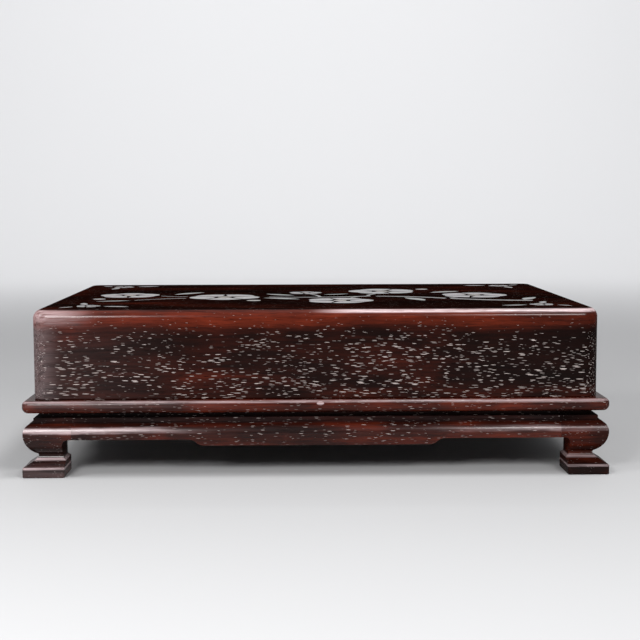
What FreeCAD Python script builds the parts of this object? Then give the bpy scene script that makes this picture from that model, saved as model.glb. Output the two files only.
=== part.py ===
"""Ink stick and stone box: a lift-off lid on a low footed stand, with the stone and the stick inside.

Millimetres. X runs along the front, Y to the back and Z up. The origin is on the surface that the
feet stand on, under the middle of the box.
"""
import FreeCAD, Part
import math
import os

V = FreeCAD.Vector
DOWN = V(0, 0, -1)
UP = V(0, 0, 1)
PARTS_FOLDER = "parts"
SAME_PLACE = 1e-6

# Lid
lid_length = 250.0
lid_depth = 168.0
lid_height = 39.6
lid_wall = 7.0
lid_top_thickness = 7.0
lid_corner_radius = 7.0
lid_edge_radius = 4.0
lid_bottom_radius = 0.6

# Loose tongues hidden in the lid's mitres
spline_thickness = 1.5
spline_cover = 0.85
corner_spline_length = 22.0
top_spline_length = 24.0
front_top_spline_offset = 70.0
spline_clearance = 0.05

# Plate, the moulded frame that the lid stands on
plate_overhang = 4.2
plate_thickness = 5.6
plate_corner_radius = 3.0
plate_upper_radius = 2.2
plate_lower_radius = 2.6
rail_width = 30.0

# Floor panel, held by a tongue in the plate's groove, with battens across its underside
floor_thickness = 4.6
tongue_thickness = 2.0
tongue_length = 3.0
tongue_depth_below_top = 1.6
groove_clearance = 0.1
floor_shrinkage_gap = 0.25
batten_width = 12.0
batten_height = 3.6
batten_dovetail_depth = 1.4
batten_dovetail_flare = 0.8
batten_offset = 46.0

# Lip that locates the lid
lip_clearance = 0.4
lip_wall = 4.5
lip_height = 10.0
lip_groove_depth = 1.5
lip_edge_radius = 1.0

# Stand: waist, band, swelling apron, necked leg and outturned foot
stand_height = 28.4
waist_inset = 7.4
waist_height = 2.5
band_inset = 4.5
band_height = 1.8
swell_inset = 0.4
swell_level = 19.3
neck_inset = 6.0
neck_level = 9.9
neck_width = 11.1
apron_edge_level = 16.7
apron_drop = 3.0
apron_thickness = 11.7
front_drop_half_length = 49.5
side_drop_half_length = 29.0
drop_curve_length = 7.2
leg_fillet_radius = 2.8
leg_shoulder = 1.6
foot_width = 18.4
foot_block_height = 4.2
foot_ledge_level = 7.6
foot_ledge_lip = 0.5
foot_ledge_hollow = 0.25
foot_slope_drop = 0.5
foot_edge_radius = 0.6
leg_corner_radius = 0.8

# Joinery of the stand
leg_tenon_side = 5.0
leg_tenon_cover = 0.7
leg_tenon_inset = 10.4
apron_tenon_thickness = 3.0
apron_tenon_height = 5.0
apron_tenon_length = 4.0
joint_clearance = 0.1
key_length = 7.0
key_thickness = 2.4
key_cover = 3.4
key_in_apron = 3.0
front_key_offset = 62.0
side_key_offset = 34.0

# Tray with the places for the stone and the stick
tray_thickness = 6.0
tray_clearance = 0.3
tray_left_border = 9.0
tray_between = 16.0
tray_right_border = 14.6
stone_place_border = 17.3
stick_place_border = 16.3
notch_radius = 8.0
stone_clearance = 0.5
stick_clearance = 0.5

# Ink stone
stone_headroom = 11.6
stone_corner_radius = 6.0
stone_edge_radius = 1.2
stone_rim = 7.0
stone_pan_depth = 2.5
stone_pan_corner_radius = 7.0
stone_well_depth = 9.0
stone_well_floor = 18.0
stone_well_slope = 20.0
stone_well_margin = 5.0

# Ink stick
stick_width = 24.0
stick_thickness = 10.0
stick_edge_radius = 1.6
stick_panel_margin = 4.0
stick_panel_depth = 0.4

# Shell inlay let into the lid's top
inlay_thickness = 0.8
blossom_petals = 5
petal_gap = 0.35
corner_sprig_inset_x = 22.0
corner_sprig_inset_y = 21.0
corner_blossom_radius = 5.6
picture_side_margin = 17.0
picture_front_margin = 39.0
drawn_length = 216.0
drawn_depth = 90.0

# Places worked out from the sizes above
half_length = lid_length / 2
half_depth = lid_depth / 2
plate_half_length = half_length + plate_overhang
plate_half_depth = half_depth + plate_overhang
plate_bottom = stand_height
plate_top = stand_height + plate_thickness
lid_bottom = plate_top
lid_top = lid_bottom + lid_height
ceiling = lid_top - lid_top_thickness
lip_half_length = half_length - lid_wall - lip_clearance
lip_half_depth = half_depth - lid_wall - lip_clearance
tray_half_length = lip_half_length - lip_wall - tray_clearance
tray_half_depth = lip_half_depth - lip_wall - tray_clearance
floor_half_length = plate_half_length - rail_width
floor_half_depth = plate_half_depth - rail_width
band_level = stand_height - waist_height
swell_top_level = band_level - band_height
leg_inner_inset = neck_inset + neck_width
leg_tenon_height = plate_thickness - lip_groove_depth - leg_tenon_cover
key_in_plate = plate_thickness - key_cover
leg_joint_inset = leg_inner_inset + leg_fillet_radius + leg_shoulder
apron_inner_inset = swell_inset + apron_thickness
stick_place_width = stick_width + 2 * stick_clearance
stick_length = 2 * (tray_half_depth - stick_place_border - stick_clearance)
stick_x = tray_half_length - tray_right_border - stick_place_width / 2
stone_place_left = -tray_half_length + tray_left_border
stone_place_right = stick_x - stick_place_width / 2 - tray_between
stone_x = (stone_place_left + stone_place_right) / 2
stone_length = stone_place_right - stone_place_left - 2 * stone_clearance
stone_width = 2 * (tray_half_depth - stone_place_border - stone_clearance)
stone_top = ceiling - stone_headroom
spline_width = (min(lid_wall, lid_top_thickness) - 2 * spline_cover) * math.sqrt(2) - spline_thickness
picture_scale = ((lid_length - 2 * picture_side_margin) / drawn_length
                 + (lid_depth - 2 * picture_front_margin) / drawn_depth) / 2


def block(x0, x1, y0, y1, z0, z1):
    return Part.makeBox(x1 - x0, y1 - y0, z1 - z0, V(x0, y0, z0))


def prism(points, travel):
    """A closed outline of straight lines, pushed along a vector."""
    return Part.Face(Part.makePolygon(points + points[:1])).extrude(travel)


def rectangle(half_x, half_y, z):
    return Part.makePolygon([V(-half_x, -half_y, z), V(half_x, -half_y, z), V(half_x, half_y, z),
                             V(-half_x, half_y, z), V(-half_x, -half_y, z)])


def edges_at(shape, z):
    """The edges that lie flat at one level."""
    return [e for e in shape.Edges if all(abs(v.Z - z) < SAME_PLACE for v in e.Vertexes)]


def upright_edges(shape):
    return [e for e in shape.Edges if len(e.Vertexes) == 2
            and abs(e.Vertexes[0].X - e.Vertexes[1].X) < SAME_PLACE
            and abs(e.Vertexes[0].Y - e.Vertexes[1].Y) < SAME_PLACE]


def rounded_block(half_x, half_y, z0, z1, corner, upper, lower):
    """A block with rounded uprights, and with its upper and lower edges rounded too."""
    shape = block(-half_x, half_x, -half_y, half_y, z0, z1)
    shape = shape.makeFillet(corner, upright_edges(shape))
    if upper:
        shape = shape.makeFillet(upper, edges_at(shape, z1))
    if lower:
        shape = shape.makeFillet(lower, edges_at(shape, z0))
    return shape


def place_on_side(shape, side):
    """Turns what was made at the front to its own side. Lengths are made for that side beforehand."""
    turn = {"front": 0, "right": 90, "back": 180, "left": -90}[side]
    moved = shape.copy()
    moved.rotate(V(0, 0, 0), UP, turn)
    return moved


SIDES = ("front", "back", "left", "right")


def along(side):
    """Half the plate's size along a side, and from the middle out to it."""
    if side in ("front", "back"):
        return plate_half_length, plate_half_depth
    return plate_half_depth, plate_half_length


def save(name, *solids):
    shape = solids[0] if len(solids) == 1 else Part.makeCompound(list(solids))
    for solid in shape.Solids:
        assert solid.isValid() and solid.Volume > 0, name
    shape.exportStep("%s/%s.step" % (PARTS_FOLDER, name))
    print("%-28s solids %3d  volume %10.1f" % (name, len(shape.Solids), shape.Volume))


# Loose tongues in the lid's mitres
def corner_spline(x_sign, y_sign, clearance):
    """A tongue across an upright mitre, square to it."""
    middle = lid_wall / 2
    half_thickness = spline_thickness / 2 + clearance
    half_width = spline_width / 2 + clearance
    half_height = corner_spline_length / 2 + clearance
    tongue = block(-half_width, half_width, -half_thickness, half_thickness, -half_height, half_height)
    tongue.rotate(V(0, 0, 0), UP, -45 * x_sign * y_sign)
    level = (lid_bottom + ceiling) / 2
    tongue.translate(V(x_sign * (half_length - middle), y_sign * (half_depth - middle), level))
    return tongue


def top_spline(side, offset, clearance):
    """A tongue across the mitre between the top and one side board."""
    out = half_depth if side in ("front", "back") else half_length
    half_thickness = spline_thickness / 2 + clearance
    half_width = spline_width / 2 + clearance
    half_run = top_spline_length / 2 + clearance
    tongue = block(-half_run, half_run, -half_width, half_width, -half_thickness, half_thickness)
    tongue.rotate(V(0, 0, 0), V(1, 0, 0), math.degrees(math.atan2(lid_wall, lid_top_thickness)))
    tongue.translate(V(offset, -(out - lid_wall / 2), lid_top - lid_top_thickness / 2))
    return place_on_side(tongue, side)


def corner_splines(clearance):
    return [corner_spline(x, y, clearance) for x in (-1, 1) for y in (-1, 1)]


def top_splines(clearance):
    made = []
    for side in SIDES:
        offsets = (-front_top_spline_offset, front_top_spline_offset) if side in ("front", "back") else (0.0,)
        made += [top_spline(side, offset, clearance) for offset in offsets]
    return made


# Shell inlay: outlines of lines and arcs, in the plane of the lid's top
def inlay_prism(edges):
    face = Part.Face(Part.Wire(edges))
    return face.extrude(V(0, 0, -inlay_thickness))


def on_top(x, y):
    return V(x, y, lid_top)


# Shapes as shares of a blossom's radius, and of a leaf's bow
HEART = 0.2
PETAL_START = 0.28
PETAL_SHOULDER = 0.72
PETAL_BASE = 0.55
LEAF_BACK = 0.55


def petal(x, y, radius, angle):
    """One petal of a blossom: narrow at the heart, with a wide round tip."""
    inner = radius * PETAL_START + petal_gap
    outer = radius * PETAL_SHOULDER
    spread = math.pi / blossom_petals

    def point(r, turn, aside):
        a = angle + turn
        return on_top(x + r * math.cos(a) - aside * math.sin(a), y + r * math.sin(a) + aside * math.cos(a))

    half_base = inner * math.tan(spread) * PETAL_BASE
    half_wide = outer * math.tan(spread) - petal_gap
    left_base, right_base = point(inner, 0, half_base), point(inner, 0, -half_base)
    left_wide, right_wide = point(outer, 0, half_wide), point(outer, 0, -half_wide)
    return inlay_prism([Part.LineSegment(right_base, right_wide).toShape(),
                        Part.Arc(right_wide, point(radius, 0, 0), left_wide).toShape(),
                        Part.LineSegment(left_wide, left_base).toShape(),
                        Part.LineSegment(left_base, right_base).toShape()])


def blossom(x, y, radius, turn_degrees):
    """Separate petals round a small round heart."""
    start = math.radians(turn_degrees)
    petals = [petal(x, y, radius, start + 2 * math.pi * k / blossom_petals) for k in range(blossom_petals)]
    heart = Part.makeCylinder(radius * HEART, inlay_thickness, on_top(x, y), DOWN)
    return petals, heart


def leaf(x0, y0, x1, y1, bow):
    """A pointed leaf from stalk to tip, of two arcs."""
    middle = on_top((x0 + x1) / 2, (y0 + y1) / 2)
    length = math.hypot(x1 - x0, y1 - y0)
    aside = V(-(y1 - y0) / length * bow, (x1 - x0) / length * bow, 0)
    stalk, tip = on_top(x0, y0), on_top(x1, y1)
    return inlay_prism([Part.Arc(stalk, middle + aside, tip).toShape(),
                        Part.Arc(tip, middle - aside * LEAF_BACK, stalk).toShape()])


def twig(x0, y0, x1, y1, bow, width0, width1):
    """A curved, tapering length of branch, from its thick end to its thin end."""
    length = math.hypot(x1 - x0, y1 - y0)
    nx, ny = -(y1 - y0) / length, (x1 - x0) / length
    mx, my = (x0 + x1) / 2 + nx * bow, (y0 + y1) / 2 + ny * bow
    middle = (width0 + width1) / 4
    a0 = on_top(x0 + nx * width0 / 2, y0 + ny * width0 / 2)
    a1 = on_top(x1 + nx * width1 / 2, y1 + ny * width1 / 2)
    b0 = on_top(x0 - nx * width0 / 2, y0 - ny * width0 / 2)
    b1 = on_top(x1 - nx * width1 / 2, y1 - ny * width1 / 2)
    upper = Part.Arc(a0, on_top(mx + nx * middle, my + ny * middle), a1).toShape()
    lower = Part.Arc(b1, on_top(mx - nx * middle, my - ny * middle), b0).toShape()
    return inlay_prism([upper, Part.LineSegment(a1, b1).toShape(), lower, Part.LineSegment(b0, a0).toShape()])


# Blossoms: place of the heart, radius and turn in degrees
BLOSSOMS = [(-92.0, 1.0, 15.0, 20), (-44.0, -12.0, 17.5, 55), (12.0, -36.0, 16.0, 0),
            (36.0, 24.0, 17.5, 30), (80.0, -5.0, 16.5, 75), (-4.0, 15.0, 8.5, 10)]
# Branch lengths: thick end, thin end, bow and the two widths
TWIGS = [(103.0, -40.0, 66.0, -26.0, 3.0, 4.4, 3.6), (63.5, -25.0, 31.0, -10.0, -3.0, 3.4, 2.8),
         (28.0, -9.0, -22.0, -13.0, 4.0, 2.8, 2.2), (-62.5, -19.0, -86.0, -31.0, -2.0, 1.8, 0.9),
         (-62.5, -8.5, -76.0, -3.0, 2.0, 1.6, 1.0), (27.0, -6.0, 31.5, 5.5, 1.0, 1.8, 1.2),
         (3.0, -12.2, -1.5, 5.5, -0.8, 1.8, 1.0), (66.0, -23.0, 70.0, -19.5, 0.4, 1.8, 1.4),
         (21.5, -13.8, 18.0, -19.6, -0.6, 1.8, 1.2)]
# Leaves: stalk, tip and bow
LEAVES = [(-25.0, -18.5, -7.0, -27.5, 3.6), (-88.0, -31.5, -104.0, -36.0, 2.4), (-9.5, -3.0, -24.0, 8.0, 3.2),
          (44.0, -19.5, 52.0, -38.0, 4.0), (60.0, 13.0, 76.0, 22.0, 3.8), (100.0, -36.0, 108.0, -20.0, 3.4),
          (-70.0, 5.0, -56.0, 20.0, 3.6), (18.0, 7.0, 5.0, 1.5, 2.2)]
# Buds: place and radius
BUDS = [(58.0, 38.0, 3.2), (-104.0, -22.0, 3.0), (-29.0, -34.0, 3.4)]


# Leaves of a corner sprig: stalk, tip and bow, from the heart of its blossom towards the lid's corner
SPRIG_LEAVES = [(-7.0, 2.0, -19.0, 4.5, 2.4), (2.0, -7.0, 4.5, -17.0, 2.2), (6.4, 3.0, 12.0, 8.5, 1.6)]


def scaled(values):
    return [value * picture_scale for value in values]


def corner_sprig(x_sign, y_sign):
    """A small blossom with leaves that follow the edges of the lid."""
    x = x_sign * (half_length - corner_sprig_inset_x)
    y = y_sign * (half_depth - corner_sprig_inset_y)
    petals, heart = blossom(x, y, corner_blossom_radius, math.degrees(math.atan2(y_sign, x_sign)))
    leaves = []
    for x0, y0, x1, y1, bow in SPRIG_LEAVES:
        leaves.append(leaf(x + x_sign * x0, y + y_sign * y0, x + x_sign * x1, y + y_sign * y1, bow))
    return petals + [heart] + leaves


def inlay_groups():
    """Every piece of shell, in the groups that share a node."""
    flowers = [blossom(*scaled((x, y, radius)), turn) for x, y, radius, turn in BLOSSOMS]
    petals = [p for made, heart in flowers for p in made]
    hearts = [heart for made, heart in flowers]
    buds = []
    for bud in BUDS:
        x, y, radius = scaled(bud)
        buds.append(Part.makeCylinder(radius, inlay_thickness, on_top(x, y), DOWN))
    sprigs = [piece for x in (-1, 1) for y in (-1, 1) for piece in corner_sprig(x, y)]
    return {"inlay_blossom_petals": petals, "inlay_blossom_hearts": hearts, "inlay_buds": buds,
            "inlay_branch": [twig(*scaled(t)) for t in TWIGS],
            "inlay_leaves": [leaf(*scaled(f)) for f in LEAVES], "inlay_corner_sprigs": sprigs}


# Lid boards, mitred on every edge so that no end grain shows
def lid_envelope():
    return rounded_block(half_length, half_depth, lid_bottom, lid_top, lid_corner_radius, lid_edge_radius,
                         lid_bottom_radius)


def lid_top_board(envelope, inlays):
    outer = rectangle(half_length, half_depth, lid_top)
    inner = rectangle(half_length - lid_wall, half_depth - lid_wall, ceiling)
    board = Part.makeLoft([inner, outer], True, True).common(envelope)
    return board.cut(top_splines(spline_clearance)).cut(inlays)


def lid_side_board(side, envelope):
    across, out = (half_length, half_depth) if side in ("front", "back") else (half_depth, half_length)
    outside = Part.makePolygon([V(-across, -out, lid_bottom), V(across, -out, lid_bottom),
                                V(across, -out, lid_top), V(-across, -out, lid_top),
                                V(-across, -out, lid_bottom)])
    short, back = across - lid_wall, -out + lid_wall
    inside = Part.makePolygon([V(-short, back, lid_bottom), V(short, back, lid_bottom),
                               V(short, back, ceiling), V(-short, back, ceiling),
                               V(-short, back, lid_bottom)])
    board = place_on_side(Part.makeLoft([outside, inside], True, True), side).common(envelope)
    return board.cut(corner_splines(spline_clearance) + top_splines(spline_clearance))


# Plate: four mitred rails with a groove for the floor, a groove for the lip and the stand's mortises
def plate_envelope():
    return rounded_block(plate_half_length, plate_half_depth, plate_bottom, plate_top, plate_corner_radius,
                         plate_upper_radius, plate_lower_radius)


def floor_groove():
    top = plate_top - tongue_depth_below_top + groove_clearance
    bottom = plate_top - tongue_depth_below_top - tongue_thickness - groove_clearance
    reach = tongue_length + groove_clearance
    return block(-floor_half_length - reach, floor_half_length + reach,
                 -floor_half_depth - reach, floor_half_depth + reach, bottom, top)


def lip_ring(clearance):
    outer = block(-lip_half_length - clearance, lip_half_length + clearance,
                  -lip_half_depth - clearance, lip_half_depth + clearance,
                  plate_top - lip_groove_depth - clearance, plate_top + lip_height)
    narrow = lip_wall + clearance
    inner = block(-lip_half_length + narrow, lip_half_length - narrow, -lip_half_depth + narrow,
                  lip_half_depth - narrow, plate_bottom, plate_top + lip_height)
    return outer.cut(inner)


def leg_tenon(x_sign, y_sign, clearance):
    half = leg_tenon_side / 2 + clearance
    x = x_sign * (plate_half_length - leg_tenon_inset)
    y = y_sign * (plate_half_depth - leg_tenon_inset)
    high = plate_bottom + leg_tenon_height + clearance
    return block(x - half, x + half, y - half, y + half, plate_bottom, high)


def stand_keys(clearance):
    """Loose tenons that tie the aprons to the plate."""
    made = []
    middle = (waist_inset + apron_inner_inset) / 2
    half_run = key_length / 2 + clearance
    half_thick = key_thickness / 2 + clearance
    for side in SIDES:
        run, out = along(side)
        offset = front_key_offset if side in ("front", "back") else side_key_offset
        for x in (-offset, offset):
            key = block(x - half_run, x + half_run, -out + middle - half_thick, -out + middle + half_thick,
                        plate_bottom - key_in_apron - clearance, plate_bottom + key_in_plate + clearance)
            made.append(place_on_side(key, side))
    return made


def plate_rail(side, envelope):
    run, out = along(side)
    points = [V(-run, -out, plate_bottom), V(run, -out, plate_bottom),
              V(run - rail_width, -out + rail_width, plate_bottom),
              V(-run + rail_width, -out + rail_width, plate_bottom)]
    rail = place_on_side(prism(points, V(0, 0, plate_thickness)), side).common(envelope)
    mortises = [leg_tenon(x, y, joint_clearance) for x in (-1, 1) for y in (-1, 1)]
    return rail.cut([floor_groove(), lip_ring(groove_clearance)] + mortises + stand_keys(joint_clearance))


def batten(x, clearance):
    """A batten across the floor, held in the floor's underside by a dovetail."""
    shoulder = plate_top - floor_thickness
    bottom = shoulder - (batten_height - batten_dovetail_depth)
    half = batten_width / 2
    narrow = half - batten_dovetail_flare + clearance
    wide = half + clearance
    top = shoulder + batten_dovetail_depth + clearance
    run = floor_half_depth - floor_shrinkage_gap
    points = [V(x - half, -run, bottom), V(x + half, -run, bottom), V(x + half, -run, shoulder),
              V(x + narrow, -run, shoulder), V(x + wide, -run, top), V(x - wide, -run, top),
              V(x - narrow, -run, shoulder), V(x - half, -run, shoulder)]
    return prism(points, V(0, 2 * run, 0))


def floor_panel():
    half_x = floor_half_length - floor_shrinkage_gap
    half_y = floor_half_depth - floor_shrinkage_gap
    top = plate_top - tongue_depth_below_top
    body = block(-half_x, half_x, -half_y, half_y, plate_top - floor_thickness, plate_top)
    tongue = block(-floor_half_length - tongue_length, floor_half_length + tongue_length,
                   -floor_half_depth - tongue_length, floor_half_depth + tongue_length,
                   top - tongue_thickness, top)
    panel = body.fuse(tongue).removeSplitter()
    return panel.cut([batten(x, joint_clearance) for x in (-batten_offset, batten_offset)])


def lip_strip(side):
    run, out = lip_half_length, lip_half_depth
    if side in ("left", "right"):
        run, out = out, run
    low, high = plate_top - lip_groove_depth, plate_top + lip_height
    points = [V(-run, -out, low), V(run, -out, low), V(run - lip_wall, -out + lip_wall, low),
              V(-run + lip_wall, -out + lip_wall, low)]
    strip = prism(points, V(0, 0, high - low))
    crest = [e for e in edges_at(strip, high) if all(abs(v.Y + out) < SAME_PLACE for v in e.Vertexes)]
    return place_on_side(strip.makeFillet(lip_edge_radius, crest), side)


# Stand
def swell_arc(inset, z):
    """The middle of the arc between the swell's fullest point, where it is upright, and another."""
    run, rise = inset - swell_inset, z - swell_level
    radius = (run * run + rise * rise) / (2 * run)
    half = math.atan2(abs(rise), radius - run) / 2
    height = math.copysign(radius * math.sin(half), rise)
    return swell_inset + radius * (1 - math.cos(half)), swell_level + height


def moulding(point):
    """The stand's outside, from the waist down to the neck.

    Its points are given by an inset from the plate's face, and a level.
    """
    top = [point(waist_inset, plate_bottom), point(waist_inset, band_level),
           point(band_inset, band_level), point(band_inset, swell_top_level)]
    edges = [Part.LineSegment(a, b).toShape() for a, b in zip(top, top[1:])]
    fullest, neck = point(swell_inset, swell_level), point(neck_inset, neck_level)
    edges.append(Part.Arc(top[-1], point(*swell_arc(band_inset, swell_top_level)), fullest).toShape())
    edges.append(Part.Arc(fullest, point(*swell_arc(neck_inset, neck_level)), neck).toShape())
    return edges


def apron_section(out):
    """The apron's cross-section: the moulding outside, and a flat back."""
    def point(inset, z):
        return V(0, -out + inset, z)

    corners = [point(neck_inset, neck_level), point(apron_inner_inset, neck_level),
               point(apron_inner_inset, plate_bottom), point(waist_inset, plate_bottom)]
    back = [Part.LineSegment(a, b).toShape() for a, b in zip(corners, corners[1:])]
    return Part.Face(Part.Wire(moulding(point) + back))


def ease_curve(start, end):
    """Two equal arcs that run level into each end, as the drop of the apron's edge does."""
    run, rise = end.x - start.x, end.z - start.z
    radius = (run * run + rise * rise) / (4 * abs(rise))
    lean = math.asin(abs(run) / (2 * radius)) / 2
    step_x, step_z = radius * math.sin(lean), radius * (1 - math.cos(lean))
    way, side = math.copysign(1, run), math.copysign(1, rise)
    middle = (start + end) / 2
    first = V(start.x + way * step_x, start.y, start.z + side * step_z)
    second = V(end.x - way * step_x, start.y, end.z - side * step_z)
    return [Part.Arc(start, first, middle).toShape(), Part.Arc(middle, second, end).toShape()]


def apron_outline(run, out, drop_half):
    """The apron seen from the front, with its edge dropped along the middle."""
    joint = run - leg_joint_inset
    low, drop = apron_edge_level, apron_edge_level - apron_drop
    rise = drop_half + drop_curve_length
    y = -out

    def line(x0, z0, x1, z1):
        return Part.LineSegment(V(x0, y, z0), V(x1, y, z1)).toShape()

    edges = [line(-joint, plate_bottom, -joint, low), line(-joint, low, -rise, low)]
    edges += ease_curve(V(-rise, y, low), V(-drop_half, y, drop))
    edges += [line(-drop_half, drop, drop_half, drop)]
    edges += ease_curve(V(drop_half, y, drop), V(rise, y, low))
    edges += [line(rise, low, joint, low), line(joint, low, joint, plate_bottom),
              line(joint, plate_bottom, -joint, plate_bottom)]
    return Part.Face(Part.Wire(edges)).extrude(V(0, apron_inner_inset, 0))


def apron_tenon(x_sign, run, out, clearance):
    """The tongue at an apron's end that enters the leg."""
    joint = run - leg_joint_inset
    reach = apron_tenon_length + clearance
    x0, x1 = sorted((x_sign * joint, x_sign * (joint + reach)))
    middle_y = -out + (band_inset + apron_inner_inset) / 2
    half = apron_tenon_thickness / 2 + clearance
    middle_z = (apron_edge_level + band_level) / 2
    half_z = apron_tenon_height / 2 + clearance
    return block(x0, x1, middle_y - half, middle_y + half, middle_z - half_z, middle_z + half_z)


def apron(side):
    run, out = along(side)
    drop_half = front_drop_half_length if side in ("front", "back") else side_drop_half_length
    length = 2 * (run - leg_joint_inset)
    body = apron_section(out).extrude(V(length, 0, 0))
    body.translate(V(-length / 2, 0, 0))
    body = body.common(apron_outline(run, out, drop_half))
    body = body.fuse([apron_tenon(x, run, out, 0.0) for x in (-1, 1)]).removeSplitter()
    return place_on_side(body, side).cut(stand_keys(joint_clearance))


def leg_outline():
    """The leg seen from the front, as insets and heights: moulding, neck, ledge and outturned foot."""
    def at(inset, z):
        return V(inset, 0, z)

    def line(a, b):
        return Part.LineSegment(a, b).toShape()

    ledge_out = at(neck_inset - foot_ledge_lip, foot_ledge_level)
    block_top = at(0, foot_block_height)
    slope_foot = at(foot_edge_radius, foot_block_height + foot_slope_drop)
    neck_out = at(neck_inset, neck_level)
    neck_bend = at(neck_inset + foot_ledge_hollow, (neck_level + foot_ledge_level) / 2)
    sole_out, sole_in = at(0, 0), at(foot_width, 0)
    foot_in = at(foot_width, foot_ledge_level - foot_ledge_lip)
    ledge_in = at(leg_inner_inset, foot_ledge_level + foot_ledge_lip)
    neck_in = at(leg_inner_inset, apron_edge_level - leg_fillet_radius)
    bend = leg_fillet_radius * (1 - math.sqrt(0.5))
    shoulder_bend = at(leg_inner_inset + bend, apron_edge_level - bend)
    shoulder = at(leg_inner_inset + leg_fillet_radius, apron_edge_level)
    joint_low, joint_high = at(leg_joint_inset, apron_edge_level), at(leg_joint_inset, plate_bottom)
    edges = moulding(at)
    edges += [Part.Arc(neck_out, neck_bend, ledge_out).toShape(), line(ledge_out, slope_foot),
              line(slope_foot, block_top), line(block_top, sole_out), line(sole_out, sole_in),
              line(sole_in, foot_in), line(foot_in, ledge_in), line(ledge_in, neck_in),
              Part.Arc(neck_in, shoulder_bend, shoulder).toShape(), line(shoulder, joint_low),
              line(joint_low, joint_high), line(joint_high, at(waist_inset, plate_bottom))]
    return Part.Face(Part.Wire(edges))


def leg(x_sign, y_sign):
    """One leg: the same outline cut from the front and from the side."""
    reach = leg_joint_inset
    front = leg_outline().extrude(V(0, reach, 0))
    side = leg_outline()
    side.rotate(V(0, 0, 0), UP, 90)
    side = side.extrude(V(reach, 0, 0))
    body = front.common(side)
    corner = [e for e in upright_edges(body) if e.Length > foot_block_height / 2
              and all(v.Z <= foot_block_height + SAME_PLACE for v in e.Vertexes)]
    body = body.makeFillet(leg_corner_radius, corner)
    body = body.makeFillet(foot_edge_radius, edges_at(body, 0))
    body.translate(V(-plate_half_length, -plate_half_depth, 0))
    body = body.fuse(leg_tenon(-1, -1, 0.0)).removeSplitter()
    front_mortise = apron_tenon(-1, plate_half_length, plate_half_depth, joint_clearance)
    side_mortise = apron_tenon(1, plate_half_depth, plate_half_length, joint_clearance)
    body = body.cut([front_mortise, place_on_side(side_mortise, "left")])
    if x_sign > 0:
        body = body.mirror(V(0, 0, 0), V(1, 0, 0))
    if y_sign > 0:
        body = body.mirror(V(0, 0, 0), V(0, 1, 0))
    return body


# Tray, stone and stick
def tray_board():
    low, high = plate_top, plate_top + tray_thickness
    board = block(-tray_half_length, tray_half_length, -tray_half_depth, tray_half_depth, low, high)
    half_x = stone_length / 2 + stone_clearance
    half_y = stone_width / 2 + stone_clearance
    place = block(-half_x, half_x, -half_y, half_y, low, high)
    place = place.makeFillet(stone_corner_radius, upright_edges(place))
    place.translate(V(stone_x, 0, 0))
    half_w, half_l = stick_width / 2 + stick_clearance, stick_length / 2 + stick_clearance
    slot = block(stick_x - half_w, stick_x + half_w, -half_l, half_l, low, high)
    notches = [Part.makeCylinder(notch_radius, tray_thickness, V(stone_x, y, low)) for y in (-half_y, half_y)]
    notches += [Part.makeCylinder(notch_radius, tray_thickness, V(x, 0, low))
                for x in (stick_x - half_w, stick_x + half_w)]
    return board.cut([place, slot] + notches)


def ink_stone():
    half_x, half_y = stone_length / 2, stone_width / 2
    body = rounded_block(half_x, half_y, plate_top, stone_top, stone_corner_radius, stone_edge_radius,
                         stone_edge_radius)
    pan_x, pan_y = half_x - stone_rim, half_y - stone_rim
    pan_floor = stone_top - stone_pan_depth
    pan = block(-pan_x, pan_x, -pan_y, pan_y, pan_floor, stone_top)
    pan = pan.makeFillet(stone_pan_corner_radius, upright_edges(pan))
    start = -pan_x + stone_well_margin
    floor = stone_top - stone_well_depth
    well_y = pan_y - stone_well_margin
    slope_start = start + stone_well_floor
    slope_end = slope_start + stone_well_slope
    points = [V(start, -well_y, stone_top), V(start, -well_y, floor), V(slope_start, -well_y, floor),
              V(slope_end, -well_y, pan_floor), V(slope_end, -well_y, stone_top)]
    well = prism(points, V(0, 2 * well_y, 0))
    deep = [e for e in upright_edges(well) if e.Length > (stone_pan_depth + stone_well_depth) / 2]
    well = well.makeFillet(stone_well_margin, deep)
    body = body.cut(pan.fuse(well))
    body.translate(V(stone_x, 0, 0))
    return body


def ink_stick():
    half_x, half_y = stick_width / 2, stick_length / 2
    low, high = plate_top, plate_top + stick_thickness
    body = block(-half_x, half_x, -half_y, half_y, low, high)
    body = body.makeFillet(stick_edge_radius, body.Edges)
    panel = block(-half_x + stick_panel_margin, half_x - stick_panel_margin, -half_y + stick_panel_margin,
                  half_y - stick_panel_margin, high - stick_panel_depth, high)
    body = body.cut(panel)
    body.translate(V(stick_x, 0, 0))
    return body


def build():
    os.makedirs(PARTS_FOLDER, exist_ok=True)
    groups = inlay_groups()
    inlays = [piece for pieces in groups.values() for piece in pieces]
    shell = lid_envelope()
    save("lid_top_board", lid_top_board(shell, inlays))
    for side in SIDES:
        save("lid_%s_board" % side, lid_side_board(side, shell))
    save("lid_corner_splines", *corner_splines(0.0))
    save("lid_top_splines", *top_splines(0.0))
    for name, pieces in groups.items():
        save(name, *pieces)
    slab = plate_envelope()
    for side in SIDES:
        save("plate_%s_rail" % side, plate_rail(side, slab))
        save("lip_%s_strip" % side, lip_strip(side))
        save("apron_%s" % side, apron(side))
    save("floor_panel", floor_panel())
    save("floor_batten_left", batten(-batten_offset, 0.0))
    save("floor_batten_right", batten(batten_offset, 0.0))
    save("stand_keys", *stand_keys(0.0))
    for y_sign, end in ((-1, "front"), (1, "back")):
        for x_sign, hand in ((-1, "left"), (1, "right")):
            save("leg_%s_%s" % (end, hand), leg(x_sign, y_sign))
    save("tray_board", tray_board())
    save("ink_stone", ink_stone())
    save("ink_stick", ink_stick())


build()
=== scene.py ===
"""Looks of a rosewood box on a footed stand, with its ink stone and ink stick inside."""
import math
from typing import NamedTuple

import bpy
from mathutils import Matrix, Vector


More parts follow.
